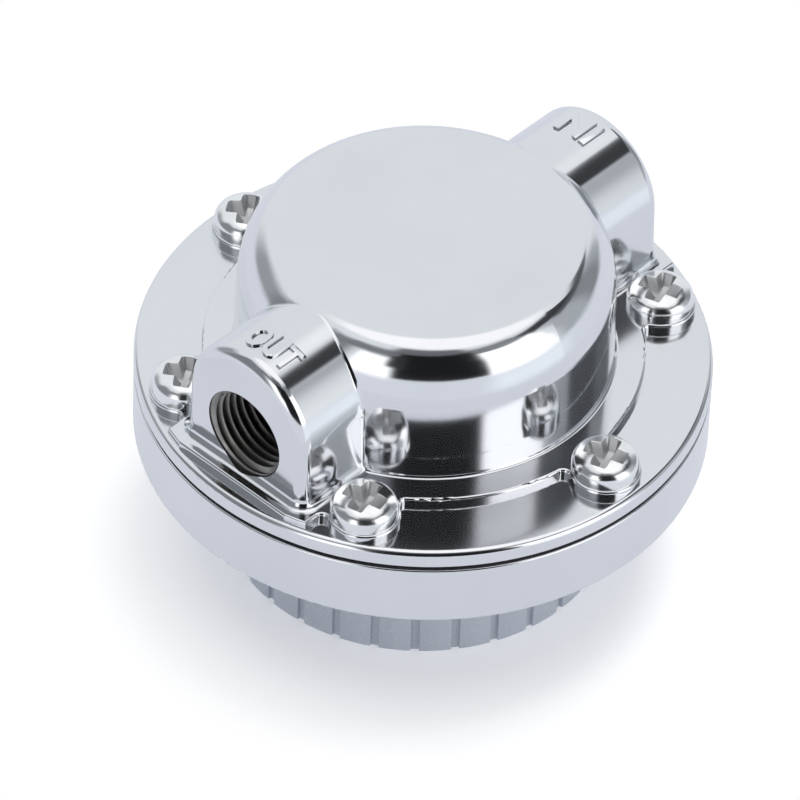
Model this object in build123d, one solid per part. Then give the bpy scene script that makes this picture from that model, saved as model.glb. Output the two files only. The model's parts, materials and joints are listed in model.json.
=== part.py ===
from build123d import *
from math import cos, hypot, pi, radians, sin
import os

# Dial-type fuel pressure regulator, standing on its dial: Z runs up from the dial's face through the
# fuel side, the outlet port points along -Y and the inlet port along +Y. Lengths are in millimetres.

# Housing
FLANGE_DIAMETER = 59.0
DIAL_STAND = 14.05
COVER_HEIGHT = 7.1
COVER_FLOOR = 2.0
DIAPHRAGM_THICKNESS = 0.5
FLANGE_THICKNESS = 1.9
PLATEAU_HEIGHT = 0.85
PLATEAU_INSET = 6.9
LAND_NECK_RADIUS = 0.7
SLIT_SHARE = 0.45
LAND_EDGE_RADIUS = 0.3
CUP_HEIGHT = 15.35
CUP_INSET = 10.05
CUP_DRAFT = 0.2
CUP_FOOT_RADIUS = 0.4
CUP_WALL = 2.75
CUP_SHOULDER_WIDTH = 4.25
CUP_SHOULDER_HEIGHT = 6.5
RIM_EDGE_RADIUS = 0.65
PARTING_EDGE_RADIUS = 0.22
CHAMBER_MARGIN = 2.65
CHAMBER_RECESS = 1.0

# Ports
PORT_INSET = 3.3
PORT_WIDTH = 16.1
PORT_ARCH_HEIGHT = 9.8
PORT_FLARE = 0.35
PORT_EDGE_RADIUS = 1.3
PORT_FOOT_RADIUS = 1.0
PAD_INSET = 1.6
PAD_MARGIN = 0.25
BORE_HEIGHT = 7.8
BORE_DIAMETER = 9.8
BORE_DEPTH = 8.6
BORE_LEAD_OUT = 1.6
OUTLET_DRILL = 4.6
INLET_DRILL = 4.0
DRILL_OFFSET = 2.45

# Flange screws
SCREW_COUNT = 6
SCREW_INSET = 4.35
SCREW_BOSS_DIAMETER = 7.4
SCREW_DIAMETER = 3.4
SCREW_LENGTH = 8.0
SCREW_POINT = 0.4
SCREW_HEAD_DIAMETER = 6.9
SCREW_HEAD_HEIGHT = 2.3
SCREW_HEAD_SIDE = 0.7
SCREW_RIM_RADIUS = 0.3
SCREW_HOLE_CLEARANCE = 0.1
SCREW_TURNS = (20, 48, 5, 33, 62, 75)

# Inlet valve
VALVE_LIFT = 0.9
VALVE_BOSS_DIAMETER = 12.0
VALVE_BOSS_DROP = 2.65
SEAT_DIAMETER = 8.0
SEAT_THICKNESS = 3.0
SEAT_LIP = 0.48
SEAT_BORE = 3.2
VALVE_CHAMBER_DIAMETER = 8.4
WEB_WIDTH = 7.0
STEM_DIAMETER = 1.7
POPPET_SEAL_THICKNESS = 1.0
POPPET_THICKNESS = 1.0
POPPET_SPIGOT = 1.5
POPPET_SPIGOT_DIAMETER = 2.4
POPPET_GUIDE_CLEARANCE = 0.1
POPPET_SPRING_DIAMETER = 3.5
POPPET_SPRING_WIRE = 0.35
POPPET_SPRING_TURNS = 5
SEAT_CLEARANCE = 0.02
SEAL_INSET = 1.0
VALVE_ROOF_THICKNESS = 1.4

# Diaphragm stack
STACK_RISE = 0.45
ROLL_DEPTH = 1.5
ROLL_WIDTH = 5.0
ROLL_SLOPE = 0.9
ROLL_INSET = 0.45
DIAPHRAGM_INSET = 0.5
PLATE_THICKNESS = 0.7
PLATE_INSET = 1.35
PLATE_LIP_WIDTH = 0.8
PLATE_LIP_RISE = 0.9
PLATE_STEP = 0.5
SPRING_PLATE_SKIRT = 1.6
RIVET_DIAMETER = 3.2
RIVET_HEAD_DIAMETER = 5.2
RIVET_HEAD_HEIGHT = 0.7
RIVET_FOOT_HEIGHT = 0.8

# Main spring, follower and adjusting screw
MAIN_SPRING_DIAMETER = 10.0
MAIN_SPRING_WIRE = 1.1
MAIN_SPRING_TURNS = 4.5
SPRING_FIT = 0.25
TUBE_BORE = 14.4
TUBE_WALL = 2.0
TUBE_END_WALL = 2.0
TUBE_END_HEIGHT = 5.0
JOURNAL_DIAMETER = 5.0
JOURNAL_CLEARANCE = 0.05
COLLAR_DIAMETER = 10.0
COLLAR_THICKNESS = 1.2
THRUST_WASHER_DIAMETER = 12.0
THRUST_WASHER_THICKNESS = 0.5
THREAD_DIAMETER = 6.0
THREAD_LENGTH = 8.8
FOLLOWER_FLANGE = 1.1
FOLLOWER_HEIGHT = 3.7
FOLLOWER_START = 0.6
KEY_WIDTH = 3.0
KEY_REACH = 8.25
KEY_CLEARANCE = 0.06
FOLLOWER_CLEARANCE = 0.15

# Dial
DIAL_DIAMETER = 40.4
DIAL_GAP = 0.4
DIAL_WALL = 2.2
DIAL_FACE = 2.2
DIAL_GROOVES = 30
GROOVE_WIDTH = 0.9
GROOVE_DEPTH = 0.7
GROOVE_PHASE = 1.1
LOBE_RISE = 0.3
DIAL_EDGE_RADIUS = 0.7
DIAL_TURN = 300
HUB_DIAMETER = 10.0
HUB_GAP = 1.0
STOP_ANGLE = 28
STOP_CLEARANCE = 1
STOP_AZIMUTH = 30
STOP_WIDTH = 3.2
STOP_GAP = 0.8
STOP_HEIGHT = 4.2
LUG_GAP = 1.0
DIAL_SCREW_HEAD = 5.0
DIAL_SCREW_HEAD_HEIGHT = 1.1
DIAL_SCREW_DIAMETER = 2.4
DIAL_SCREW_LENGTH = 4.5
DIAL_WASHER_THICKNESS = 0.3
DIAL_SCREW_SINK = 0.2
DRIVE_FLAT = 1.7
DRIVE_CLEARANCE = 0.03
CLIP_DIAMETER = 7.6
CLIP_THICKNESS = 0.4
CLIP_GROOVE_DEPTH = 0.5
CLIP_GAP = 0.1

# Detent
DETENT_INSET = 1.25
DETENT_STEPS = 6
DETENT_BALL = 2.4
DETENT_DIP = 0.25
DETENT_BALL_CLEARANCE = 0.05
DETENT_SPRING_LENGTH = 2.0
DETENT_SPRING_DIAMETER = 1.6
DETENT_SPRING_WIRE = 0.3
DETENT_SPRING_TURNS = 3
DETENT_WALL = 0.8
DETENT_SIDE_WALL = 1.2
VENT_DIAMETER = 1.6
VENT_RING = 12.0
POINTER_LENGTH = 4.5
POINTER_WIDTH = 3.0
POINTER_HEIGHT = 0.4
POINTER_GAP = 1.0

# Heights of the joints between pieces
rim_radius = FLANGE_DIAMETER / 2
cover_top = DIAL_STAND + COVER_HEIGHT
body_base = cover_top + DIAPHRAGM_THICKNESS
flange_top = body_base + FLANGE_THICKNESS
plateau_top = flange_top + PLATEAU_HEIGHT
cup_top = plateau_top + CUP_HEIGHT
cup_roof = cup_top - CUP_WALL
shoulder_base = cup_top - CUP_SHOULDER_HEIGHT
chamber_ceiling = body_base + CHAMBER_RECESS
bore_z = body_base + BORE_HEIGHT
boss_base = body_base + VALVE_BOSS_DROP
seat_top = boss_base + SEAT_THICKNESS
lip_top = seat_top + SEAT_LIP - SEAT_CLEARANCE
seal_base = lip_top + VALVE_LIFT + SEAT_CLEARANCE
poppet_base = seal_base + POPPET_SEAL_THICKNESS
poppet_top = poppet_base + POPPET_THICKNESS
valve_roof = cup_roof - VALVE_ROOF_THICKNESS
disc_base = cover_top + STACK_RISE
disc_top = disc_base + DIAPHRAGM_THICKNESS
rivet_top = disc_top + PLATE_THICKNESS + RIVET_HEAD_HEIGHT
spring_top = disc_base - PLATE_THICKNESS
tube_floor = TUBE_END_HEIGHT + TUBE_END_WALL
collar_base = tube_floor + THRUST_WASHER_THICKNESS
collar_top = collar_base + COLLAR_THICKNESS
follower_base = collar_top + FOLLOWER_START
spring_base = follower_base + FOLLOWER_FLANGE
dial_top = DIAL_STAND - DIAL_GAP
clip_top = TUBE_END_HEIGHT - CLIP_GAP
hub_top = TUBE_END_HEIGHT - HUB_GAP
dial_recess = DIAL_SCREW_SINK + DIAL_SCREW_HEAD_HEIGHT + DIAL_WASHER_THICKNESS
ball_crown = dial_top + DETENT_BALL
pocket_top = ball_crown + DETENT_SPRING_LENGTH

# Distances from the main axis
screw_ring = rim_radius - SCREW_INSET
plateau_radius = rim_radius - PLATEAU_INSET
cup_base_radius = rim_radius - CUP_INSET
shoulder_radius = cup_base_radius - CUP_DRAFT
port_reach = rim_radius - PORT_INSET
port_foot = PORT_WIDTH / 2 + PORT_FLARE
pad_reach = rim_radius - PAD_INSET
pad_width = 2 * (port_foot + PORT_FOOT_RADIUS + PAD_MARGIN)
chamber_radius = screw_ring - SCREW_DIAMETER / 2 - CHAMBER_MARGIN
roll_outer = chamber_radius - ROLL_INSET
roll_inner = roll_outer - ROLL_WIDTH
spring_plate_radius = roll_inner - PLATE_INSET
upper_plate_radius = spring_plate_radius - PLATE_STEP
dial_radius = DIAL_DIAMETER / 2
skirt_inner = dial_radius - DIAL_WALL
detent_ring = dial_radius - DETENT_INSET
stop_outer = skirt_inner - STOP_GAP
stop_inner = stop_outer - STOP_WIDTH


def section(*corners):
    """Closed outline through (x, y) or (x, y, corner radius)."""
    points = [corner[:2] for corner in corners]
    radii = [corner[2] if len(corner) > 2 else 0 for corner in corners]
    return make_face(FilletPolyline(*points, radius=radii, close=True))


def turned(*corners):
    """Solid turned about Z from corners given as (radius, height)."""
    return revolve(Plane.XZ * section(*corners), Axis.Z)


def disc(radius, low, high):
    """Plain cylinder about Z between two heights."""
    return Pos(0, 0, low) * Cylinder(radius, high - low, align=(Align.CENTER, Align.CENTER, Align.MIN))


def around(count, radius, start=0):
    """Places evenly spaced on a circle, each turned to face outwards."""
    return [Rot(0, 0, start + step * 360 / count) * Pos(radius, 0, 0) for step in range(count)]


def slab(width, depth, low, high):
    """Box centred on Z between two heights."""
    return Pos(0, 0, low) * Box(width, depth, high - low, align=(Align.CENTER, Align.CENTER, Align.MIN))


def coil(diameter, wire, turns, low, high):
    """Compression spring whose end turns touch two heights."""
    rise = high - low - wire
    path = Helix(pitch=rise / turns, height=rise, radius=diameter / 2, center=(0, 0, low + wire / 2))
    wire_end = Plane(origin=path @ 0, z_dir=path % 0) * Circle(wire / 2)
    return sweep(wire_end, path=path)


def sector(inner, outer, angle, low, high):
    """Part ring centred on the X axis."""
    wedge = outer * 2
    half = radians(angle / 2)
    ring = disc(outer, low, high) - disc(inner, low, high)
    edge = (wedge * cos(half), wedge * sin(half))
    cut = make_face(Polyline((0, 0), edge, (edge[0], -edge[1]), close=True))
    return ring & (Pos(0, 0, low) * extrude(cut, high - low))


def write(name, shape):
    """Save one sub-part under its node's name."""
    shape.label = name
    export_step(shape, os.path.join("parts", name + ".step"))


def plateau():
    """Raised land round the cup, with the six screw bosses and the pads under the ports."""
    land = Circle(plateau_radius)
    for place in around(SCREW_COUNT, screw_ring):
        land += place * Circle(SCREW_BOSS_DIAMETER / 2)
    land += Rectangle(pad_width, 2 * pad_reach)
    boss_x = screw_ring * cos(radians(360 / SCREW_COUNT))
    boss_y = screw_ring * sin(radians(360 / SCREW_COUNT))
    land += Rectangle(2 * boss_x, 2 * boss_y)
    land &= Circle(rim_radius - RIM_EDGE_RADIUS)
    raised = extrude(Pos(0, 0, body_base) * land, plateau_top - body_base)
    uprights = raised.edges().filter_by(Axis.Z)
    necks = [edge for edge in uprights if hypot(edge.center().X, edge.center().Y) < screw_ring + 1]
    # On a wide flange the bosses stand off the pads, and the slit between them limits the fillets.
    slit = boss_x - (SCREW_BOSS_DIAMETER + pad_width) / 2
    raised = fillet(necks, min(LAND_NECK_RADIUS, slit * SLIT_SHARE) if slit > 0 else LAND_NECK_RADIUS)
    return fillet(raised.faces().sort_by(Axis.Z)[-1].edges(), LAND_EDGE_RADIUS)


def port_block():
    """Arched block of the outlet port, its flat face along -Y."""
    half = PORT_WIDTH / 2
    spring_line = body_base + PORT_ARCH_HEIGHT
    legs = make_face(Polyline((-port_foot, body_base), (port_foot, body_base), (half, spring_line),
                              (-half, spring_line), close=True))
    arch = legs + Pos(0, spring_line) * Circle(half)
    face_plane = Plane(origin=(0, -port_reach, 0), x_dir=(1, 0, 0), z_dir=(0, -1, 0))
    block = extrude(face_plane * arch, -port_reach * 0.6)
    front = block.faces().sort_by(Axis.Y)[0]
    rim = [edge for edge in front.edges() if edge.center().Z > body_base + 0.01]
    return fillet(rim, PORT_EDGE_RADIUS)


def is_port_foot(point):
    """Whether an edge's middle lies on the line where a port stands on the plateau."""
    on_land = abs(point.Z - plateau_top) < 0.01
    beyond_cup = hypot(point.X, point.Y) > cup_base_radius + 0.05
    return on_land and beyond_cup and abs(point.X) < port_foot and abs(point.Y) < port_reach + 0.01


def is_cup_foot(point):
    """Whether an edge's middle lies where the cup stands on the plateau."""
    on_land = abs(point.Z - plateau_top) < 0.01
    return on_land and abs(hypot(point.X, point.Y) - cup_base_radius) < 0.01


def cup():
    """Solid cup: a nearly upright wall that turns over into the flat top in one long soft curve."""
    wall = Polyline((0, body_base), (cup_base_radius, body_base), (cup_base_radius, plateau_top),
                    (shoulder_radius, shoulder_base))
    ease = 0.5523
    rise = CUP_SHOULDER_HEIGHT * ease
    lean = CUP_DRAFT * rise / (shoulder_base - plateau_top)
    top_radius = shoulder_radius - CUP_SHOULDER_WIDTH
    shoulder = Bezier(wall @ 1, (shoulder_radius - lean, shoulder_base + rise),
                      (top_radius + CUP_SHOULDER_WIDTH * ease, cup_top), (top_radius, cup_top))
    rest = Polyline((top_radius, cup_top), (0, cup_top), (0, body_base))
    return revolve(Plane.XZ * make_face(Wire([*wall.edges(), shoulder, *rest.edges()])), Axis.Z)


def bore_along(diameter, height, near, far):
    """Round cut towards the outlet between two distances from the main axis."""
    return Pos(0, 0, height) * Rot(90, 0, 0) * disc(diameter / 2, near, far)


def fuel_body():
    """Die-cast fuel side: cup, flange, two ports and the valve boss inside."""
    flange = turned((0, body_base), (rim_radius, body_base, PARTING_EDGE_RADIUS),
                    (rim_radius, flange_top, RIM_EDGE_RADIUS), (0, flange_top))
    port = port_block()
    body = flange + plateau() + cup() + port + Rot(0, 0, 180) * port
    body = fillet(body.edges().filter_by(lambda edge: is_port_foot(edge.center())), PORT_FOOT_RADIUS)
    body = fillet(body.edges().filter_by(lambda edge: is_cup_foot(edge.center())), CUP_FOOT_RADIUS)
    hollow = turned((0, body_base), (chamber_radius, body_base), (chamber_radius, chamber_ceiling, 0.3),
                    (cup_base_radius - CUP_WALL, chamber_ceiling, 0.3),
                    (shoulder_radius - CUP_WALL, cup_roof, CUP_WALL), (0, cup_roof))
    inlet_z = bore_z + DRILL_OFFSET
    web_base = inlet_z - INLET_DRILL / 2 - 0.7
    web = Pos(0, cup_base_radius / 2, 0) * slab(WEB_WIDTH, cup_base_radius, web_base, cup_top)
    hollow -= disc(VALVE_BOSS_DIAMETER / 2, boss_base, cup_top)
    hollow -= web
    body -= hollow
    body -= disc(VALVE_CHAMBER_DIAMETER / 2, seat_top, valve_roof)
    body -= disc(SEAT_DIAMETER / 2, boss_base, seat_top)
    blind = port_reach - BORE_DEPTH
    threaded = bore_along(BORE_DIAMETER, bore_z, blind, port_reach + BORE_LEAD_OUT)
    body -= threaded
    body -= Rot(0, 0, 180) * threaded
    body -= bore_along(OUTLET_DRILL, bore_z - DRILL_OFFSET, shoulder_radius - 2 * CUP_WALL, port_reach)
    body -= Rot(0, 0, 180) * bore_along(INLET_DRILL, inlet_z, 0, port_reach)
    for place in around(SCREW_COUNT, screw_ring):
        body -= place * disc(SCREW_DIAMETER / 2 + SCREW_HOLE_CLEARANCE, body_base, plateau_top)
    return body


def dial_side_cover():
    """Die-cast dial side: rim, floor, keyed spring tube, stop post and detent pocket."""
    tube = TUBE_BORE / 2
    floor = DIAL_STAND + COVER_FLOOR
    outside = turned((0, TUBE_END_HEIGHT), (tube + TUBE_WALL, TUBE_END_HEIGHT, 0.5),
                     (tube + TUBE_WALL, DIAL_STAND, 0.5), (rim_radius, DIAL_STAND, 0.4),
                     (rim_radius, cover_top, PARTING_EDGE_RADIUS), (0, cover_top))
    hollow = turned((0, tube_floor), (tube, tube_floor), (tube, floor, 0.4), (chamber_radius, floor, 1.0),
                    (chamber_radius, cover_top), (0, cover_top))
    hollow -= Pos(detent_ring, 0, 0) * disc(DETENT_BALL / 2 + DETENT_SIDE_WALL, DIAL_STAND,
                                            pocket_top + DETENT_WALL)
    cover = outside - hollow
    key_slot = slab(2 * (KEY_REACH + KEY_CLEARANCE), KEY_WIDTH + 2 * KEY_CLEARANCE, tube_floor, floor + 1)
    cover -= key_slot
    cover -= disc(JOURNAL_DIAMETER / 2 + JOURNAL_CLEARANCE, TUBE_END_HEIGHT, tube_floor)
    cover += Rot(0, 0, STOP_AZIMUTH) * sector(stop_inner, stop_outer, STOP_ANGLE,
                                              DIAL_STAND - STOP_HEIGHT, DIAL_STAND + 0.5)
    cover -= Pos(detent_ring, 0, 0) * disc(DETENT_BALL / 2 + DETENT_BALL_CLEARANCE, DIAL_STAND, pocket_top)
    cover -= Pos(0, VENT_RING, 0) * disc(VENT_DIAMETER / 2, DIAL_STAND, floor)
    screw_end = plateau_top - SCREW_LENGTH
    for place in around(SCREW_COUNT, screw_ring):
        cover -= place * disc(SCREW_DIAMETER / 2, screw_end, cover_top)
    tip = dial_radius + POINTER_GAP
    pointer = make_face(Polyline((0, -tip), (POINTER_WIDTH / 2, -tip - POINTER_LENGTH),
                                 (-POINTER_WIDTH / 2, -tip - POINTER_LENGTH), close=True))
    cover += Pos(0, 0, DIAL_STAND - POINTER_HEIGHT) * extrude(pointer, POINTER_HEIGHT + 0.5)
    return cover


def cross_recess(size, width, depth):
    """Tapered cross for a screwdriver, sunk from the XY plane."""
    cross = Rectangle(size, width) + Rectangle(width, size)
    inner = [corner for corner in cross.vertices() if hypot(corner.X, corner.Y) < width]
    cross = fillet(inner, width * 0.15)
    return extrude(cross, -depth, taper=18)


def flange_screw(turn):
    """Pan-head screw standing at the origin's axis, head up."""
    head = SCREW_HEAD_DIAMETER / 2
    crown = plateau_top + SCREW_HEAD_HEIGHT
    rim = plateau_top + SCREW_HEAD_SIDE
    dome_rise = crown - rim
    dome_radius = (head ** 2 + dome_rise ** 2) / (2 * dome_rise)
    pan = disc(head, plateau_top, crown) & Pos(0, 0, crown - dome_radius) * Sphere(dome_radius)
    pan = fillet([edge for edge in pan.edges() if abs(edge.center().Z - rim) < 0.01], SCREW_RIM_RADIUS)
    recess = cross_recess(SCREW_HEAD_DIAMETER * 0.64, SCREW_HEAD_DIAMETER * 0.26, SCREW_HEAD_HEIGHT * 0.7)
    pan -= Pos(0, 0, crown) * Rot(0, 0, turn) * recess
    shank = SCREW_DIAMETER / 2
    end = plateau_top - SCREW_LENGTH
    return pan + turned((0, end), (shank - SCREW_POINT, end), (shank, end + SCREW_POINT), (shank, plateau_top),
                        (0, plateau_top))


def flange_screws():
    """The six screws that clamp the diaphragm between body and cover."""
    places = around(SCREW_COUNT, screw_ring)
    return Compound(children=[place * flange_screw(turn) for place, turn in zip(places, SCREW_TURNS)])


def diaphragm():
    """Rubbered fabric disc with one rolled convolution and holes for the screws."""
    half = DIAPHRAGM_THICKNESS / 2
    low = disc_base - ROLL_DEPTH
    line = FilletPolyline((RIVET_DIAMETER / 2, disc_base + half), (roll_inner, disc_base + half),
                          (roll_inner + ROLL_SLOPE, low), (roll_outer - ROLL_SLOPE, low),
                          (roll_outer, cover_top + half), (rim_radius - DIAPHRAGM_INSET, cover_top + half),
                          radius=(0.5, 1.0, 1.0, 0.5))
    sheet = revolve(Plane.XZ * trace(line, DIAPHRAGM_THICKNESS), Axis.Z)
    for place in around(SCREW_COUNT, screw_ring):
        sheet -= place * disc(SCREW_DIAMETER / 2 + SCREW_HOLE_CLEARANCE, DIAL_STAND, plateau_top)
    return sheet


def valve_seat():
    """Brass bush pressed into the boss, with a raised lip round its bore."""
    bore = SEAT_BORE / 2
    return turned((bore, boss_base), (SEAT_DIAMETER / 2 - 0.3, boss_base), (SEAT_DIAMETER / 2, boss_base + 0.3),
                  (SEAT_DIAMETER / 2, seat_top - 0.6), (SEAT_DIAMETER / 2 - 0.6, seat_top),
                  (bore + 0.7, seat_top), (bore + 0.35, lip_top), (bore, lip_top))


def poppet():
    """Hexagonal guide with a stem that reaches down to the diaphragm's rivet."""
    corner = VALVE_CHAMBER_DIAMETER / 2 - POPPET_GUIDE_CLEARANCE
    guide = Pos(0, 0, poppet_base) * extrude(RegularPolygon(corner, 6), POPPET_THICKNESS)
    stem = turned((0, rivet_top), (STEM_DIAMETER / 2, rivet_top, 0.4), (STEM_DIAMETER / 2, poppet_base + 0.2),
                  (0, poppet_base + 0.2))
    peg = POPPET_SPIGOT_DIAMETER / 2
    spigot = turned((0, poppet_top - 0.2), (peg, poppet_top - 0.2), (peg, poppet_top + POPPET_SPIGOT, 0.3),
                    (0, poppet_top + POPPET_SPIGOT))
    return guide + stem + spigot


def poppet_seal():
    """Rubber ring on the stem that closes on the seat's lip."""
    hole = disc(STEM_DIAMETER / 2, seal_base, poppet_base)
    return disc(SEAT_DIAMETER / 2 - SEAL_INSET, seal_base, poppet_base) - hole


def diaphragm_plate():
    """Stiffening plate on the fuel side, its edge turned up."""
    edge = upper_plate_radius
    bend = edge - PLATE_LIP_WIDTH
    high = disc_top + PLATE_THICKNESS
    across = PLATE_THICKNESS / hypot(PLATE_LIP_WIDTH, PLATE_LIP_RISE)
    lip_in, lip_up = PLATE_LIP_RISE * across, PLATE_LIP_WIDTH * across
    return turned((RIVET_DIAMETER / 2, disc_top), (bend, disc_top, 0.6), (edge, disc_top + PLATE_LIP_RISE, 0.2),
                  (edge - lip_in, disc_top + PLATE_LIP_RISE + lip_up, 0.2), (bend - lip_in, high, 0.4),
                  (RIVET_DIAMETER / 2, high))


def spring_plate():
    """Plate on the dial side that carries the spring, its edge turned down."""
    edge = spring_plate_radius
    low = disc_base - SPRING_PLATE_SKIRT
    return turned((RIVET_DIAMETER / 2, disc_base), (edge, disc_base, 0.6), (edge, low),
                  (edge - PLATE_THICKNESS, low), (edge - PLATE_THICKNESS, spring_top, 0.3),
                  (RIVET_DIAMETER / 2, spring_top))


def centre_rivet():
    """Rivet through the diaphragm: head for the stem above, spring guide below."""
    foot = MAIN_SPRING_DIAMETER / 2 - MAIN_SPRING_WIRE / 2 - SPRING_FIT
    shank = RIVET_DIAMETER / 2
    head = RIVET_HEAD_DIAMETER / 2
    return turned((0, spring_top - RIVET_FOOT_HEIGHT), (foot, spring_top - RIVET_FOOT_HEIGHT, 0.2),
                  (foot, spring_top), (shank, spring_top), (shank, disc_top + PLATE_THICKNESS),
                  (head, disc_top + PLATE_THICKNESS), (head, rivet_top, 0.2), (0, rivet_top))


def spring_follower():
    """Nut with two keys that slide in the tube's slots."""
    guide = MAIN_SPRING_DIAMETER / 2 - MAIN_SPRING_WIRE / 2 - SPRING_FIT
    bore = THREAD_DIAMETER / 2 + JOURNAL_CLEARANCE
    top = follower_base + FOLLOWER_HEIGHT
    edge = TUBE_BORE / 2 - FOLLOWER_CLEARANCE
    nut = turned((bore, follower_base), (edge, follower_base), (edge, spring_base), (guide, spring_base),
                 (guide, top, 0.4), (bore, top))
    keys = slab(2 * KEY_REACH, KEY_WIDTH, follower_base, spring_base) - disc(guide, follower_base, spring_base)
    return nut + keys


def drive_flat(distance, low, high):
    """What lies beyond the spindle's driving flat."""
    return Pos(distance + JOURNAL_DIAMETER, 0, 0) * slab(2 * JOURNAL_DIAMETER, 2 * JOURNAL_DIAMETER, low, high)


def adjusting_screw():
    """Spindle turned by the dial: driving flat, journal, collar and multi-start thread."""
    journal = JOURNAL_DIAMETER / 2
    collar = COLLAR_DIAMETER / 2
    thread = THREAD_DIAMETER / 2
    low = dial_recess
    clip_base = clip_top - CLIP_THICKNESS
    groove = journal - CLIP_GROOVE_DEPTH
    top = collar_top + THREAD_LENGTH
    spindle = turned((0, low), (journal, low), (journal, clip_base), (groove, clip_base), (groove, clip_top),
                     (journal, clip_top), (journal, collar_base), (collar, collar_base, 0.2),
                     (collar, collar_top, 0.2), (thread, collar_top), (thread, top - 0.5), (thread - 0.5, top),
                     (0, top))
    flat = drive_flat(DRIVE_FLAT, low, hub_top)
    hole = disc(DIAL_SCREW_DIAMETER / 2, low, low + DIAL_SCREW_LENGTH)
    return spindle - flat - hole


def retaining_clip():
    """Open ring in the spindle's groove, under the end of the tube."""
    low = clip_top - CLIP_THICKNESS
    groove = JOURNAL_DIAMETER / 2 - CLIP_GROOVE_DEPTH
    ring = disc(CLIP_DIAMETER / 2, low, clip_top) - disc(groove, low, clip_top)
    return ring - Pos(CLIP_DIAMETER / 2, 0, 0) * slab(CLIP_DIAMETER, 2 * groove * 0.8, low, clip_top)


def thrust_washer():
    """Washer between the spindle's collar and the tube's end wall."""
    hole = disc(JOURNAL_DIAMETER / 2 + JOURNAL_CLEARANCE, tube_floor, collar_base)
    return disc(THRUST_WASHER_DIAMETER / 2, tube_floor, collar_base) - hole


def dial_outline():
    """Rim of the dial: shallow lobes parted by narrow grooves."""
    side = dial_radius - LOBE_RISE
    bottom = dial_radius - GROOVE_DEPTH
    pitch = 2 * pi / DIAL_GROOVES
    half_groove = GROOVE_WIDTH / 2 / dial_radius
    edges = []
    for step in range(DIAL_GROOVES):
        start = radians(GROOVE_PHASE) + step * pitch
        angles = (start - half_groove, start + half_groove, start + pitch / 2, start + pitch - half_groove)
        left, right, middle, after = [(cos(angle), sin(angle)) for angle in angles]
        at = [(left, side), (left, bottom), (right, bottom), (right, side)]
        corners = [(unit[0] * radius, unit[1] * radius) for unit, radius in at]
        edges += Polyline(*corners).edges()
        crest = (middle[0] * dial_radius, middle[1] * dial_radius)
        edges.append(ThreePointArc(corners[-1], crest, (after[0] * side, after[1] * side)))
    return make_face(Wire(edges))


def dial():
    """Moulded knob with a grooved skirt, a driven hub and a stop lug inside."""
    hub = HUB_DIAMETER / 2
    envelope = turned((0, 0), (dial_radius, 0, DIAL_EDGE_RADIUS), (dial_radius, dial_top, 0.3), (0, dial_top))
    knob = extrude(dial_outline(), dial_top) & envelope
    knob -= turned((hub, DIAL_FACE, 0.4), (skirt_inner, DIAL_FACE, 0.8), (skirt_inner, dial_top),
                   (hub, dial_top))
    knob -= disc(hub, hub_top, dial_top)
    lug_angle = 360 - DIAL_TURN - STOP_ANGLE - 2 * STOP_CLEARANCE
    lug_azimuth = STOP_AZIMUTH + STOP_ANGLE / 2 + STOP_CLEARANCE + lug_angle / 2
    knob += Rot(0, 0, lug_azimuth) * sector(stop_inner, skirt_inner + 0.5, lug_angle, DIAL_FACE - 0.5,
                                            dial_top - LUG_GAP)
    drive = disc(JOURNAL_DIAMETER / 2 + DRIVE_CLEARANCE, 0, dial_top)
    knob -= drive - drive_flat(DRIVE_FLAT + DRIVE_CLEARANCE, 0, dial_top)
    knob -= disc(DIAL_SCREW_HEAD / 2 + 0.4, 0, dial_recess)
    ball = DETENT_BALL / 2
    for place in around(DETENT_STEPS, detent_ring):
        knob -= place * Pos(0, 0, dial_top + ball - DETENT_DIP) * Sphere(ball)
    return knob


def dial_screw():
    """Small screw that holds the dial on its spindle, sunk in the face."""
    head = DIAL_SCREW_HEAD / 2
    base = DIAL_SCREW_SINK + DIAL_SCREW_HEAD_HEIGHT
    shank = DIAL_SCREW_DIAMETER / 2
    tip = dial_recess + DIAL_SCREW_LENGTH
    screw = turned((0, DIAL_SCREW_SINK), (head, DIAL_SCREW_SINK, 0.5), (head, base), (shank, base), (shank, tip),
                   (0, tip))
    recess = cross_recess(DIAL_SCREW_HEAD * 0.6, DIAL_SCREW_HEAD * 0.18, DIAL_SCREW_HEAD_HEIGHT * 0.6)
    return screw - Pos(0, 0, DIAL_SCREW_SINK) * Rot(180, 0, 0) * recess


def dial_washer():
    """Washer under the dial screw's head."""
    low = dial_recess - DIAL_WASHER_THICKNESS
    outer = DIAL_SCREW_HEAD / 2 + 0.3
    return disc(outer, low, dial_recess) - disc(DIAL_SCREW_DIAMETER / 2, low, dial_recess)


def detent_ball():
    """Ball that rides on the skirt's top edge over the dimples."""
    return Pos(detent_ring, 0, dial_top + DETENT_BALL / 2) * Sphere(DETENT_BALL / 2)


os.makedirs("parts", exist_ok=True)
write("fuel_body", fuel_body())
write("dial_side_cover", dial_side_cover())
write("flange_screws", flange_screws())
write("diaphragm", diaphragm())
write("valve_seat", valve_seat())
write("poppet", poppet())
write("poppet_seal", poppet_seal())
write("poppet_spring", coil(POPPET_SPRING_DIAMETER, POPPET_SPRING_WIRE, POPPET_SPRING_TURNS, poppet_top,
                            valve_roof))
write("diaphragm_plate", diaphragm_plate())
write("spring_plate", spring_plate())
write("centre_rivet", centre_rivet())
write("main_spring", coil(MAIN_SPRING_DIAMETER, MAIN_SPRING_WIRE, MAIN_SPRING_TURNS, spring_base, spring_top))
write("spring_follower", spring_follower())
write("adjusting_screw", adjusting_screw())
write("retaining_clip", retaining_clip())
write("thrust_washer", thrust_washer())
write("dial", dial())
write("dial_screw", dial_screw())
write("dial_washer", dial_washer())
write("detent_ball", detent_ball())
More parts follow.
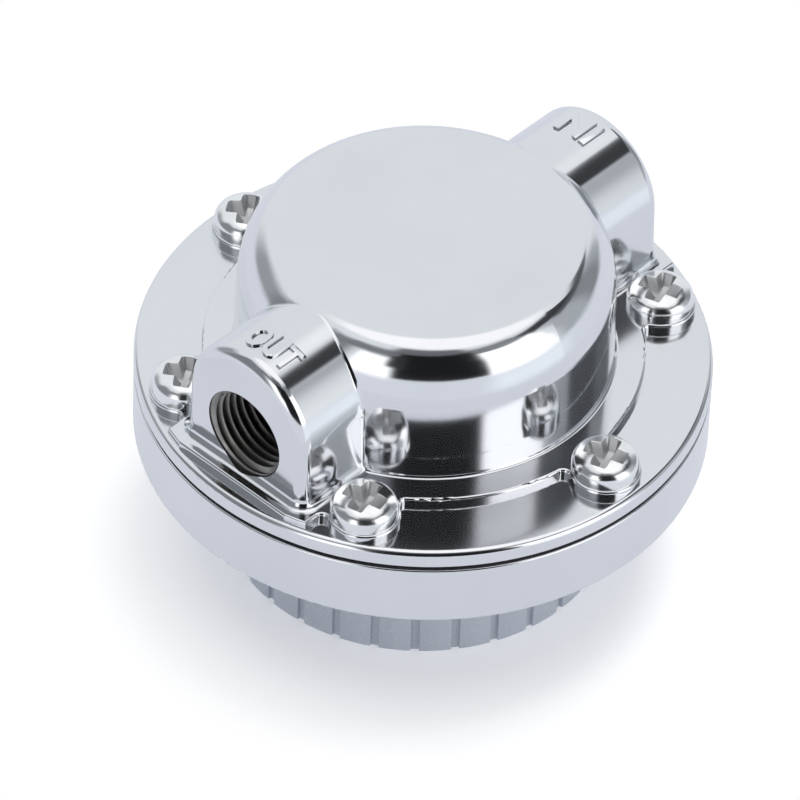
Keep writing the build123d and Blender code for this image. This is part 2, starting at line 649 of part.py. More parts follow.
write("detent_spring", Pos(detent_ring, 0, 0) * coil(DETENT_SPRING_DIAMETER, DETENT_SPRING_WIRE,
                                                     DETENT_SPRING_TURNS, ball_crown, pocket_top))
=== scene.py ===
import json
import math

import bmesh
import bpy
from mathutils import Matrix, Vector


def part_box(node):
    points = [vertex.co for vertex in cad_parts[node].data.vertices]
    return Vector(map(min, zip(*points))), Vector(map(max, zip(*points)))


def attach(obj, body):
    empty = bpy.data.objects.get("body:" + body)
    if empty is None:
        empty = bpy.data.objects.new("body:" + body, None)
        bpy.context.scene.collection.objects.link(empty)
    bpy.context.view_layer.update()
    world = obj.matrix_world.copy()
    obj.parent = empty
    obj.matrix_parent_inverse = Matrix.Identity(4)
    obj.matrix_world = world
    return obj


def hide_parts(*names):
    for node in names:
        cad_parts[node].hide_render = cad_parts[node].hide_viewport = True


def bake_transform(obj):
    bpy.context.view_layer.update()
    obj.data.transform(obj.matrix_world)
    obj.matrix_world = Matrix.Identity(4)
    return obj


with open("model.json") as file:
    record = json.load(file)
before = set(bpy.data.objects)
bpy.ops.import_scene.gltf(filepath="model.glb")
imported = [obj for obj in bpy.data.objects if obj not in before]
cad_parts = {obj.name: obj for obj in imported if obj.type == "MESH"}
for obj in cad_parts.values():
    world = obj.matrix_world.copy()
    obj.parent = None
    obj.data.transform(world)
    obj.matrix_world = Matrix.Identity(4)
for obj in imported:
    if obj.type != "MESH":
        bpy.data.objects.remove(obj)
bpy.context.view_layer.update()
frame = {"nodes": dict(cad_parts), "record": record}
nodes = frame["nodes"]
record = frame["record"]
scene = bpy.context.scene
scene.view_settings.view_transform = "Standard"
millimetre = 0.001
fullTurn = 2 * math.pi
roundSteps = 96          # steps of a full turn, unless a piece gives its own
cornerSteps = 5          # steps of a rounded corner on a turned line
noiseMiddle = (0.3, 0.7) # where nearly all of a noise's values lie
print("frame loaded:", len(nodes), "nodes")

# Camera: the photograph's long lens, looking down on the outlet side
cameraView = {
    "lens": 405,
    "sensor": 36,
    "clip": (0.05, 10),
    "distance": 0.91733,
    "azimuth": 42.2,        # degrees round from the outlet port
    "elevation": 43.853,
    "roll": 2.297,
    "aim": (0, 0, 0.0214),  # where the axis crosses the joint of the two castings
    "slide": (-0.002343, -0.003533),
}


def addCamera(view):
    data = bpy.data.cameras.new("camera")
    data.lens = view["lens"]
    data.sensor_width = view["sensor"]
    data.clip_start, data.clip_end = view["clip"]
    cam = bpy.data.objects.new("camera", data)
    scene.collection.objects.link(cam)
    cam.matrix_world = (Matrix.Translation(view["aim"])
                        @ Matrix.Rotation(math.radians(view["azimuth"]), 4, "Z")
                        @ Matrix.Rotation(math.radians(90 - view["elevation"]), 4, "X")
                        @ Matrix.Rotation(math.radians(view["roll"]), 4, "Z")
                        @ Matrix.Translation((*view["slide"], view["distance"])))
    scene.camera = cam


addCamera(cameraView)


# Helpers for node trees: an input is given a value, or linked to another node's socket
def addNode(tree, kind, inputs=None, **settings):
    node = tree.nodes.new(kind)
    for name, value in settings.items():
        setattr(node, name, value)
    for name, value in (inputs or {}).items():
        if isinstance(value, bpy.types.NodeSocket):
            tree.links.new(value, node.inputs[name])
        else:
            node.inputs[name].default_value = value
    return node


def mathNode(tree, operation, *values):
    return addNode(tree, "ShaderNodeMath", dict(enumerate(values)), operation=operation).outputs[0]


def mixColour(tree, mask, first, second):
    # the Mix node keeps its colours in places 6 and 7, and their mix in place 2
    inputs = {0: mask, 6: first, 7: second}
    return addNode(tree, "ShaderNodeMix", inputs, data_type="RGBA").outputs[2]


def mapRange(tree, value, fromLow, fromHigh, toLow=0, toHigh=1, **settings):
    inputs = {"Value": value, "From Min": fromLow, "From Max": fromHigh,
              "To Min": toLow, "To Max": toHigh}
    return addNode(tree, "ShaderNodeMapRange", inputs, **settings).outputs[0]


def noiseNode(tree, vector, scale, detail=2, roughness=0.5):
    inputs = {"Vector": vector, "Scale": scale, "Detail": detail, "Roughness": roughness}
    return addNode(tree, "ShaderNodeTexNoise", inputs).outputs[0]


def bumpNode(tree, height, distance, **normal):
    inputs = {"Height": height, "Distance": distance, **normal}
    return addNode(tree, "ShaderNodeBump", inputs).outputs[0]


def hypotenuse(tree, across, up):
    squares = [mathNode(tree, "MULTIPLY", side, side) for side in (across, up)]
    return mathNode(tree, "SQRT", mathNode(tree, "ADD", *squares))


def newGroup(name, inputs, outputs):
    # an input with no value of its own is a vector
    group = bpy.data.node_groups.new(name, "ShaderNodeTree")
    for socketName, value in inputs.items():
        kind = "NodeSocketVector" if value is None else "NodeSocketFloat"
        socket = group.interface.new_socket(socketName, in_out="INPUT", socket_type=kind)
        if value is not None:
            socket.default_value = value
    for socketName in outputs:
        kind = "NodeSocketVector" if socketName == "Normal" else "NodeSocketFloat"
        group.interface.new_socket(socketName, in_out="OUTPUT", socket_type=kind)
    return group, group.nodes.new("NodeGroupInput"), group.nodes.new("NodeGroupOutput")


def useGroup(tree, group, **inputs):
    named = {name.replace("_", " "): value for name, value in inputs.items()}
    return addNode(tree, "ShaderNodeGroup", named, node_tree=group)


# Studio: panels that the plating mirrors, given as directions round the object
studio = {
    "sky": (0.80, 0.835, 0.855, 1),
    "panels": [
        # azimuth, half width, elevation, half height, softness, level
        (-158, 24, 10, 22, 10, 0.36),      # far end of the table
        (-122, 27, 26, 30, 6, 0.24),       # grey curtain on the left
        (-78, 11, 18, 23, 1.5, 1.35),      # narrow white box
        (65, 28, 16, 26, 4, 0.45),         # grey wall on the right
        (73, 11, 20, 24, 6, 0.27),
        (76, 26, 41, 5.5, 2, 0.10),
        (52, 27, 49, 6.5, 1.5, 0.045),     # dark strips under the overhead light
        (8, 20, 51, 9, 3, 0.25),
        (-84, 22, 50, 9, 4, 0.22),
        (-42, 32, 62, 11, 6, 0.16),
        (10, 20.5, 18.5, 27.5, 1.5, 1.45), # tall white box
        (-38, 27, 29, 27, 2, 0.012),       # dark gap round the camera
        (-64, 6, 33, 12, 2, 0.03),
    ],
    "greyTint": 0.06,                      # how far the grey panels lean to blue
    "overheadAxis": (100, 81),             # azimuth and elevation of its middle
    "overheadReach": 24,
    "overheadEdge": 3.5,
    "overheadLevel": 1.12,
    "table": (0.74, 0.77, 0.84, 1),
    "tableEdge": (-3.5, 4.5),              # elevations over which it fades in
    "tableGlow": (14, 24, -12, 11, 8, 0.98),   # one more such panel, on the table
    "floorRadius": 0.4,
    "floorDrop": 0.00006,                  # below the dial's face, which stands on the floor
    "floorPale": (0.22, 0.225, 0.24, 1),
    "floorGlow": (0.475, 0.49, 0.535, 1),
    "floorReach": (0.085, 0.105),          # over which the floor ends in what the plating mirrors
    "floorShade": (0.95, 0),               # how much of the shadow shows near and far
    "floorShadeReach": (0.023, 0.040),
    "floorShadeBlue": 1.02,
    "floorOpenLight": 0.74,                # what the key light gives the floor in the open
    "keyEnergy": 4.2,
    "keySize": 0.5,
    "keyDistance": 0.9,
    "keyDirection": (185, 18),             # degrees round the axis and away from it
}


def panelGroup():
    group, start, end = newGroup("studioPanel", {
        "Azimuth": 0, "Elevation": 0, "Centre Azimuth": 0, "Half Width": 10,
        "Centre Elevation": 0, "Half Height": 10, "Softness": 2}, ["Mask"])
    sides = []
    for angle, centre, half in (("Azimuth", "Centre Azimuth", "Half Width"),
                                ("Elevation", "Centre Elevation", "Half Height")):
        away = mathNode(group, "SUBTRACT", start.outputs[angle], start.outputs[centre])
        away = mathNode(group, "ABSOLUTE", mathNode(group, "WRAP", away, 180, -180))
        inside = mathNode(group, "SUBTRACT", start.outputs[half], away)
        share = mathNode(group, "DIVIDE", inside, start.outputs["Softness"])
        sides.append(mapRange(group, share, -1, 1, interpolation_type="SMOOTHSTEP"))
    group.links.new(mathNode(group, "MULTIPLY", *sides), end.inputs["Mask"])
    return group


def buildWorld(look):
    world = bpy.data.worlds.new("studio")
    scene.world = world
    world.use_nodes = True
    tree = world.node_tree
    tree.nodes.clear()
    direction = addNode(tree, "ShaderNodeTexCoord").outputs["Generated"]
    unit = addNode(tree, "ShaderNodeVectorMath", {0: direction}, operation="NORMALIZE").outputs[0]
    east, north, up = addNode(tree, "ShaderNodeSeparateXYZ", {0: unit}).outputs
    azimuth = mathNode(tree, "DEGREES", mathNode(tree, "ARCTAN2", north, east))
    elevation = mathNode(tree, "DEGREES", mathNode(tree, "ARCSINE", up))
    panel = panelGroup()

    def addPanel(under, spec):
        panelAzimuth, width, height, reach, softness, level = spec
        mask = useGroup(tree, panel, Azimuth=azimuth, Elevation=elevation,
                        Centre_Azimuth=panelAzimuth, Half_Width=width,
                        Centre_Elevation=height, Half_Height=reach, Softness=softness)
        cool = look["greyTint"] if level < 1 else 0
        tint = (level * (1 - cool), level, level * (1 + cool), 1)
        return mixColour(tree, mask.outputs[0], under, tint)

    colour = look["sky"]
    for spec in look["panels"]:
        colour = addPanel(colour, spec)
    aside, lift = (math.radians(angle) for angle in look["overheadAxis"])
    axis = (math.cos(lift) * math.cos(aside), math.cos(lift) * math.sin(aside), math.sin(lift))
    along = addNode(tree, "ShaderNodeVectorMath", {0: unit, 1: axis}, operation="DOT_PRODUCT")
    away = mathNode(tree, "DEGREES", mathNode(tree, "ARCCOSINE", along.outputs["Value"]))
    reach, edge, level = look["overheadReach"], look["overheadEdge"], look["overheadLevel"]
    overhead = mapRange(tree, away, reach - edge, reach + edge, 1, 0)
    colour = mixColour(tree, overhead, colour, (level, level, level, 1))
    below = mapRange(tree, elevation, *look["tableEdge"], 1, 0)
    colour = mixColour(tree, below, colour, addPanel(look["table"], look["tableGlow"]))
    back = addNode(tree, "ShaderNodeBackground", {"Color": colour, "Strength": 1})
    white = addNode(tree, "ShaderNodeBackground", {"Color": (1, 1, 1, 1), "Strength": 1})
    seen = addNode(tree, "ShaderNodeLightPath").outputs["Is Camera Ray"]
    mixed = addNode(tree, "ShaderNodeMixShader",
                    {0: seen, 1: back.outputs[0], 2: white.outputs[0]})
    addNode(tree, "ShaderNodeOutputWorld", {"Surface": mixed.outputs[0]})


def floorMaterial(look):
    material = bpy.data.materials.new("paperFloor")
    material.use_nodes = True
    tree = material.node_tree
    tree.nodes.clear()

    def combine(kind, *parts):
        return addNode(tree, kind, dict(enumerate(parts))).outputs[0]

    def diffuse(colour):
        return addNode(tree, "ShaderNodeBsdfDiffuse", {"Color": colour}).outputs[0]

    def glow(colour, strength=1):
        return addNode(tree, "ShaderNodeEmission", {"Color": colour, "Strength": strength}).outputs[0]

    place = addNode(tree, "ShaderNodeTexCoord").outputs["Object"]
    away = addNode(tree, "ShaderNodeVectorMath", {0: place}, operation="LENGTH").outputs["Value"]
    clear = addNode(tree, "ShaderNodeBsdfTransparent").outputs[0]
    # what the camera sees: white paper, with the shadow near the object only
    share = mapRange(tree, away, *look["floorShadeReach"], *look["floorShade"])
    blue = mathNode(tree, "MULTIPLY", share, look["floorShadeBlue"])
    grey = combine("ShaderNodeCombineColor", share, share, blue)
    rest = mathNode(tree, "MULTIPLY_ADD", share, -look["floorOpenLight"], 1)
    paper = combine("ShaderNodeAddShader", diffuse(grey), glow((1, 1, 1, 1), rest))
    # what the plating mirrors: a grey sheet that ends a little way out
    sheetGrey = combine("ShaderNodeAddShader", diffuse(look["floorPale"]), glow(look["floorGlow"]))
    near = mapRange(tree, away, *look["floorReach"], 1, 0)
    mirrored = combine("ShaderNodeMixShader", near, clear, sheetGrey)
    seen = addNode(tree, "ShaderNodeLightPath").outputs["Is Camera Ray"]
    both = combine("ShaderNodeMixShader", seen, mirrored, paper)
    under = addNode(tree, "ShaderNodeNewGeometry").outputs["Backfacing"]
    oneSided = combine("ShaderNodeMixShader", under, both, clear)
    addNode(tree, "ShaderNodeOutputMaterial", {"Surface": oneSided})
    return material


def buildFloor(look):
    bm = bmesh.new()
    bmesh.ops.create_circle(bm, cap_ends=True, segments=roundSteps, radius=look["floorRadius"],
                            matrix=Matrix.Translation((0, 0, -look["floorDrop"])))
    mesh = bpy.data.meshes.new("floor")
    bm.to_mesh(mesh)
    bm.free()
    mesh.materials.append(floorMaterial(look))
    floor = bpy.data.objects.new("floor", mesh)
    scene.collection.objects.link(floor)


def addKeyLight(look):
    lamp = bpy.data.lights.new("key", "AREA")
    lamp.shape, lamp.size, lamp.energy = "DISK", look["keySize"], look["keyEnergy"]
    key = bpy.data.objects.new("key", lamp)
    scene.collection.objects.link(key)
    turn, tilt = (math.radians(angle) for angle in look["keyDirection"])
    key.matrix_world = (Matrix.Rotation(turn, 4, "Z") @ Matrix.Rotation(tilt, 4, "X")
                        @ Matrix.Translation((0, 0, look["keyDistance"])))
    key.visible_glossy = False


buildWorld(studio)
buildFloor(studio)
addKeyLight(studio)
print("studio built")


# Surface effects shared by several materials
def wavinessGroup():
    group, start, end = newGroup("castWaviness", {
        "Vector": None, "Swell": 90, "Peel": 900, "Peel Share": 0.04}, ["Height"])
    place = start.outputs["Vector"]
    swell = noiseNode(group, place, start.outputs["Swell"], detail=1.5, roughness=0.35)
    peel = noiseNode(group, place, start.outputs["Peel"])
    small = mathNode(group, "MULTIPLY", peel, start.outputs["Peel Share"])
    group.links.new(mathNode(group, "ADD", swell, small), end.inputs["Height"])
    return group


def bareInsideGroup():
    # where the plating ends: the threaded bores and everything inside the casting
    group, start, end = newGroup("bareInside", {
        "Vector": None, "Bore Height": 0.03, "Bore Radius": 0.005,
        "Hollow Radius": 0.0175, "Hollow Top": 0.037,
        "Chamber Radius": 0.021, "Chamber Top": 0.0227, "Chamber Base": 0.016}, ["Mask"])
    across, along, height = addNode(group, "ShaderNodeSeparateXYZ", {0: start.outputs["Vector"]}).outputs
    radius = hypotenuse(group, across, along)
    lift = mathNode(group, "SUBTRACT", height, start.outputs["Bore Height"])
    inside = mathNode(group, "LESS_THAN", hypotenuse(group, lift, across), start.outputs["Bore Radius"])
    for wall, top in (("Hollow Radius", "Hollow Top"), ("Chamber Radius", "Chamber Top")):
        within = mathNode(group, "LESS_THAN", radius, start.outputs[wall])
        lower = mathNode(group, "LESS_THAN", height, start.outputs[top])
        inside = mathNode(group, "MAXIMUM", inside, mathNode(group, "MULTIPLY", within, lower))
    above = mathNode(group, "GREATER_THAN", height, start.outputs["Chamber Base"])
    group.links.new(mathNode(group, "MULTIPLY", inside, above), end.inputs["Mask"])
    return group


def rimNormalGroup():
    # exact normal of the flange's rounded rim, so that its highlight runs round without steps
    group, start, end = newGroup("rimNormal", {
        "Vector": None, "Normal": None, "Ring Radius": 0.0288, "Ring Height": 0.0229,
        "Rounding": 0.00065, "Margin": 1.05}, ["Normal"])
    across, along, height = addNode(group, "ShaderNodeSeparateXYZ", {0: start.outputs["Vector"]}).outputs
    radius = hypotenuse(group, across, along)
    out = mathNode(group, "SUBTRACT", radius, start.outputs["Ring Radius"])
    up = mathNode(group, "SUBTRACT", height, start.outputs["Ring Height"])
    share = mathNode(group, "DIVIDE", out, radius)
    exact = addNode(group, "ShaderNodeCombineXYZ", {
        0: mathNode(group, "MULTIPLY", across, share),
        1: mathNode(group, "MULTIPLY", along, share), 2: up}).outputs[0]
    exact = addNode(group, "ShaderNodeVectorMath", {0: exact}, operation="NORMALIZE").outputs[0]
    top = mathNode(group, "MULTIPLY", start.outputs["Rounding"], start.outputs["Margin"])
    mask = mathNode(group, "MULTIPLY", mathNode(group, "GREATER_THAN", out, 0),
                    mathNode(group, "GREATER_THAN", up, 0))
    mask = mathNode(group, "MULTIPLY", mask, mathNode(group, "LESS_THAN", up, top))
    # the Mix node keeps its vectors in places 4 and 5, and their mix in place 1
    mixed = addNode(group, "ShaderNodeMix", {0: mask, 4: start.outputs["Normal"], 5: exact},
                    data_type="VECTOR")
    group.links.new(mixed.outputs[1], end.inputs["Normal"])
    return group


def landHazeGroup():
    # the flat land round the cup is polished less than the cup
    group, start, end = newGroup("landHaze", {
        "Vector": None, "Land Top": 0.0245, "Fade": 0.0004}, ["Mask"])
    height = addNode(group, "ShaderNodeSeparateXYZ", {0: start.outputs["Vector"]}).outputs[2]
    above = mathNode(group, "SUBTRACT", height, start.outputs["Land Top"])
    share = mathNode(group, "DIVIDE", above, start.outputs["Fade"])
    group.links.new(mapRange(group, share, 0, 1, 1, 0), end.inputs["Mask"])
    return group


def turnedMarksGroup():
    group, start, end = newGroup("turnedMarks", {
        "Vector": None, "Feed": 0.00012, "Wave": 0.5, "Wander": 0.4, "Drift": 700}, ["Height"])
    place = start.outputs["Vector"]
    across, along, height = addNode(group, "ShaderNodeSeparateXYZ", {0: place}).outputs
    travel = mathNode(group, "ADD", hypotenuse(group, across, along), height)
    turns = mathNode(group, "DIVIDE", travel, start.outputs["Feed"])
    wave = mathNode(group, "SINE", mathNode(group, "MULTIPLY", turns, fullTurn))
    wave = mathNode(group, "MULTIPLY", wave, start.outputs["Wave"])
    drift = noiseNode(group, place, start.outputs["Drift"], detail=3)
    wander = mathNode(group, "MULTIPLY", drift, start.outputs["Wander"])
    group.links.new(mathNode(group, "ADD", wave, wander), end.inputs["Height"])
    return group


def drawnWireGroup():
    group, start, end = newGroup("drawnWire", {
        "Vector": None, "Streak": 1600, "Spot": 260}, ["Height", "Tarnish"])
    place = start.outputs["Vector"]
    flat = (0.25, 0.25, 3)       # streaks lie round the coil, so they are long across and low
    drawn = addNode(group, "ShaderNodeMapping", {"Vector": place, "Scale": flat}).outputs[0]
    streak = noiseNode(group, drawn, start.outputs["Streak"], detail=3, roughness=0.6)
    tarnish = noiseNode(group, place, start.outputs["Spot"], detail=3, roughness=0.55)
    group.links.new(streak, end.inputs["Height"])
    tarnish = mapRange(group, tarnish, fromLow=0.4, fromHigh=0.7)
    group.links.new(tarnish, end.inputs["Tarnish"])
    return group


def spangleGroup():
    group, start, end = newGroup("zincSpangle", {
        "Vector": None, "Crystal": 450, "Grain": 2500}, ["Shade", "Height"])
    place = start.outputs["Vector"]
    cells = addNode(group, "ShaderNodeTexVoronoi", {"Vector": place, "Scale": start.outputs["Crystal"]},
                    feature="F1")
    shade = addNode(group, "ShaderNodeSeparateColor", {0: cells.outputs["Color"]}).outputs[0]
    group.links.new(shade, end.inputs["Shade"])
    grain = noiseNode(group, place, start.outputs["Grain"], detail=3)
    group.links.new(grain, end.inputs["Height"])
    return group


def mouldedGrainGroup():
    group, start, end = newGroup("mouldedGrain", {
        "Vector": None, "Grain": 2600, "Flake": 5200, "Flow": 60}, ["Height", "Flake", "Flow"])
    place = start.outputs["Vector"]
    grain = noiseNode(group, place, start.outputs["Grain"], detail=3, roughness=0.6)
    flake = noiseNode(group, place, start.outputs["Flake"], detail=1, roughness=0.4)
    flow = noiseNode(group, place, start.outputs["Flow"])
    group.links.new(grain, end.inputs["Height"])
    group.links.new(mapRange(group, flake, fromLow=0.5, fromHigh=0.75), end.inputs["Flake"])
    group.links.new(flow, end.inputs["Flow"])
    return group


def fabricWeaveGroup():
    group, start, end = newGroup("fabricWeave", {"Vector": None, "Thread": 0.00035}, ["Height"])
    parts = addNode(group, "ShaderNodeSeparateXYZ", {0: start.outputs["Vector"]})
    waves = []
    for axis in (0, 1):
        turns = mathNode(group, "DIVIDE", parts.outputs[axis], start.outputs["Thread"])
        waves.append(mathNode(group, "SINE", mathNode(group, "MULTIPLY", turns, fullTurn)))
    cross = mathNode(group, "MULTIPLY", *waves)
    group.links.new(mapRange(group, cross, fromLow=-1, fromHigh=1), end.inputs["Height"])
    return group


def handlingGroup():
    group, start, end = newGroup("handling", {"Vector": None, "Smudge": 55}, ["Mask"])
    smudge = noiseNode(group, start.outputs["Vector"], start.outputs["Smudge"], detail=4, roughness=0.6)
    group.links.new(mapRange(group, smudge, fromLow=0.45, fromHigh=0.75), end.inputs["Mask"])
    return group


waviness = wavinessGroup()
bareInside = bareInsideGroup()
rimNormal = rimNormalGroup()
landHaze = landHazeGroup()
turnedMarks = turnedMarksGroup()
drawnWire = drawnWireGroup()
spangle = spangleGroup()
mouldedGrain = mouldedGrainGroup()
fabricWeave = fabricWeaveGroup()
handling = handlingGroup()


# Materials
def newMaterial(name, **values):
    material = bpy.data.materials.new(name)
    material.use_nodes = True
    tree = material.node_tree
    shader = tree.nodes["Principled BSDF"]
    for socket, value in values.items():
        shader.inputs[socket.replace("_", " ")].default_value = value
    place = addNode(tree, "ShaderNodeTexCoord").outputs["Object"]
    return material, tree, shader, place


def setSurface(tree, shader, colour, roughness, normal=None):
    tree.links.new(colour, shader.inputs["Base Color"])
    tree.links.new(roughness, shader.inputs["Roughness"])
    if normal is not None:
        tree.links.new(normal, shader.inputs["Normal"])


def stainNoise(tree, place, scale):
    return noiseNode(tree, place, scale, detail=4, roughness=0.6)


chrome = {
    "bright": (0.83, 0.84, 0.865, 1),
    "grey": (0.79, 0.80, 0.825, 1),
    "roughness": (0.10, 0.14),
    "landRoughness": 0.02,               # added on the land round the cup
    "wave": 1.4e-5,
    "rimRounding": 0.65 * millimetre,
    "flangeTop": 23.55 * millimetre,
    "landTop": 24.45 * millimetre,
    "boreMargin": 0.02 * millimetre,
    "cupTop": 2.4 * millimetre,          # the cup's inside is bare up to this far below its top
    "chamberTop": 1.05 * millimetre,     # and the chamber's this far above the castings' joint
    "bare": (0.20, 0.195, 0.19, 1),
    "bareStain": (0.09, 0.085, 0.08, 1),
    "bareStainScale": 400,
    "bareRoughness": 0.42,
    "bareGrain": 3e-5,
    "bareGrainScale": 2400,
}


def platedCasting(look):
    material, tree, shader, place = newMaterial("platedCasting", Metallic=1)
    port = next(mount for mount in record["mounts"] if mount["kind"] == "threaded_hole")
    low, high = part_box("fuel_body")
    inside = useGroup(tree, bareInside, Vector=place, Bore_Height=port["pos_m"][2],
                      Bore_Radius=port["dims"]["r_mm"] * millimetre + look["boreMargin"],
                      Hollow_Top=high[2] - look["cupTop"],
                      Chamber_Top=low[2] + look["chamberTop"]).outputs[0]
    smudge = useGroup(tree, handling, Vector=place).outputs[0]
    plated = mixColour(tree, smudge, look["bright"], look["grey"])
    stain = stainNoise(tree, place, look["bareStainScale"])
    bare = mixColour(tree, stain, look["bare"], look["bareStain"])
    haze = useGroup(tree, landHaze, Vector=place, Land_Top=look["landTop"]).outputs[0]
    polish = mathNode(tree, "MULTIPLY_ADD", haze, look["landRoughness"],
                      mapRange(tree, smudge, 0, 1, *look["roughness"]))
    rim = useGroup(tree, rimNormal, Vector=place, Rounding=look["rimRounding"],
                   Normal=addNode(tree, "ShaderNodeNewGeometry").outputs["Normal"],
                   Ring_Radius=high[0] - look["rimRounding"],
                   Ring_Height=look["flangeTop"] - look["rimRounding"]).outputs[0]
    height = useGroup(tree, waviness, Vector=place).outputs[0]
    wave = bumpNode(tree, height, look["wave"], Normal=rim)
    grain = noiseNode(tree, place, look["bareGrainScale"], detail=3)
    grain = mathNode(tree, "MULTIPLY", grain, inside)
    setSurface(tree, shader, mixColour(tree, inside, plated, bare),
               mapRange(tree, inside, 0, 1, polish, look["bareRoughness"]),
               bumpNode(tree, grain, look["bareGrain"], Normal=wave))
    return material


screwPlate = {
    "bright": (0.92, 0.925, 0.93, 1),
    "grey": (0.85, 0.855, 0.86, 1),
    "roughness": (0.17, 0.23),
    # painted shade: the cross recess is a darker grey than the dome, for the shade that falls in it
    "recess": (0.66, 0.665, 0.67, 1),
    "recessRoughness": 0.42,
    "smudge": 300,
    "waviness": {"Swell": 420, "Peel": 2400, "Peel_Share": 0.15},
    "relief": 1.2e-5,
}


def platedScrew(look):
    material, tree, shader, place = newMaterial("platedScrew", Metallic=1)
    smudge = useGroup(tree, handling, Vector=place, Smudge=look["smudge"]).outputs[0]
    recess = addNode(tree, "ShaderNodeAttribute", attribute_name="recess").outputs["Fac"]
    plated = mixColour(tree, smudge, look["bright"], look["grey"])
    polish = mapRange(tree, smudge, 0, 1, *look["roughness"])
    height = useGroup(tree, waviness, Vector=place, **look["waviness"]).outputs[0]
    # the recess mask paints shade: a darker, rougher grey in the cross
    setSurface(tree, shader, mixColour(tree, recess, plated, look["recess"]),
               mapRange(tree, recess, 0, 1, polish, look["recessRoughness"]),
               bumpNode(tree, height, look["relief"]))
    return material


turned = {
    "brass": ((0.78, 0.61, 0.33, 1), (0.60, 0.43, 0.20, 1)),
    "rivet": ((0.80, 0.80, 0.81, 1), (0.66, 0.66, 0.67, 1)),
    "turnedSteel": ((0.62, 0.63, 0.65, 1), (0.45, 0.45, 0.46, 1)),
    "roughness": (0.22, 0.38),
    "smudge": 220,
    "relief": 6e-6,
}


def turnedMetal(name, look):
    material, tree, shader, place = newMaterial(name, Metallic=1)
    marks = useGroup(tree, turnedMarks, Vector=place).outputs[0]
    smudge = useGroup(tree, handling, Vector=place, Smudge=look["smudge"]).outputs[0]
    setSurface(tree, shader, mixColour(tree, smudge, *look[name]),
               mapRange(tree, smudge, 0, 1, *look["roughness"]),
               bumpNode(tree, marks, look["relief"]))
    return material


springWire = {
    "bright": (0.66, 0.665, 0.68, 1),
    "tarnished": (0.45, 0.44, 0.43, 1),
    "roughness": (0.2, 0.42),
    "relief": 8e-6,
}


def springSteel(look):
    material, tree, shader, place = newMaterial("springSteel", Metallic=1)
    wire = useGroup(tree, drawnWire, Vector=place).outputs
    setSurface(tree, shader, mixColour(tree, wire["Tarnish"], look["bright"], look["tarnished"]),
               mapRange(tree, wire["Height"], *noiseMiddle, *look["roughness"]),
               bumpNode(tree, wire["Height"], look["relief"]))
    return material


zincSheet = {
    "pale": (0.70, 0.70, 0.685, 1),
    "grey": (0.58, 0.585, 0.59, 1),
    "roughness": (0.3, 0.48),
    "relief": 6e-6,
}


def sheetSteel(look):
    material, tree, shader, place = newMaterial("sheetSteel", Metallic=1)
    zinc = useGroup(tree, spangle, Vector=place).outputs
    setSurface(tree, shader, mixColour(tree, zinc["Shade"], look["pale"], look["grey"]),
               mapRange(tree, zinc["Shade"], 0, 1, *look["roughness"]),
               bumpNode(tree, zinc["Height"], look["relief"]))
    return material


rubberedFabric = {
    "fresh": (0.018, 0.018, 0.020, 1),
    "worn": (0.045, 0.045, 0.048, 1),
    "wornScale": 180,
    "roughness": (0.62, 0.85),
    "relief": 4e-5,
}


def diaphragmRubber(look):
    material, tree, shader, place = newMaterial("diaphragmRubber")
    weave = useGroup(tree, fabricWeave, Vector=place).outputs[0]
    worn = stainNoise(tree, place, look["wornScale"])
    setSurface(tree, shader, mixColour(tree, worn, look["fresh"], look["worn"]),
               mapRange(tree, weave, 0, 1, *look["roughness"]),
               bumpNode(tree, weave, look["relief"]))
    return material


smoothRubber = {
    "fresh": (0.014, 0.014, 0.014, 1),
    "bloom": (0.05, 0.05, 0.05, 1),
    "bloomScale": 900,
    "roughness": (0.42, 0.65),
    "relief": 1e-5,
    "reliefScale": 4000,
}


def sealRubber(look):
    material, tree, shader, place = newMaterial("sealRubber")
    bloom = stainNoise(tree, place, look["bloomScale"])
    setSurface(tree, shader, mixColour(tree, bloom, look["fresh"], look["bloom"]),
               mapRange(tree, bloom, *noiseMiddle, *look["roughness"]),
               bumpNode(tree, noiseNode(tree, place, look["reliefScale"]), look["relief"]))
    return material


greyPlastic = {
    "dark": (0.53, 0.57, 0.63, 1),
    "pale": (0.58, 0.62, 0.68, 1),
    "flake": (0.66, 0.69, 0.74, 1),
    "roughness": (0.38, 0.55),
    "relief": 1.2e-5,
}


def dialPlastic(look):
    material, tree, shader, place = newMaterial("dialPlastic", Specular_IOR_Level=0.35)
    grain = useGroup(tree, mouldedGrain, Vector=place).outputs
    base = mixColour(tree, grain["Flow"], look["dark"], look["pale"])
    setSurface(tree, shader, mixColour(tree, grain["Flake"], base, look["flake"]),
               mapRange(tree, grain["Height"], *noiseMiddle, *look["roughness"]),
               bumpNode(tree, grain["Height"], look["relief"]))
    return material


cutThread = {
    "bright": (0.50, 0.49, 0.47, 1),
    "stain": (0.22, 0.215, 0.20, 1),
    "stainScale": 500,
    "roughness": (0.28, 0.45),
    "relief": 1.5e-5,
    "reliefScale": 3000,
}


def bareThread(look):
    material, tree, shader, place = newMaterial("bareThread", Metallic=1)
    stain = stainNoise(tree, place, look["stainScale"])
    marks = noiseNode(tree, place, look["reliefScale"], detail=3)
    setSurface(tree, shader, mixColour(tree, stain, look["bright"], look["stain"]),
               mapRange(tree, stain, *noiseMiddle, *look["roughness"]),
               bumpNode(tree, marks, look["relief"]))
    return material


ink = {
    "fresh": (0.02, 0.02, 0.022, 1),
    "worn": (0.10, 0.105, 0.115, 1),
    "wornScale": 1500,
    "roughness": (0.4, 0.6),
}


def printedInk(look):
    material, tree, shader, place = newMaterial("printedInk")
    worn = stainNoise(tree, place, look["wornScale"])
    mask = mapRange(tree, worn, fromLow=0.55, fromHigh=0.75)
    setSurface(tree, shader, mixColour(tree, mask, look["fresh"], look["worn"]),
               mapRange(tree, worn, *noiseMiddle, *look["roughness"]))
    return material


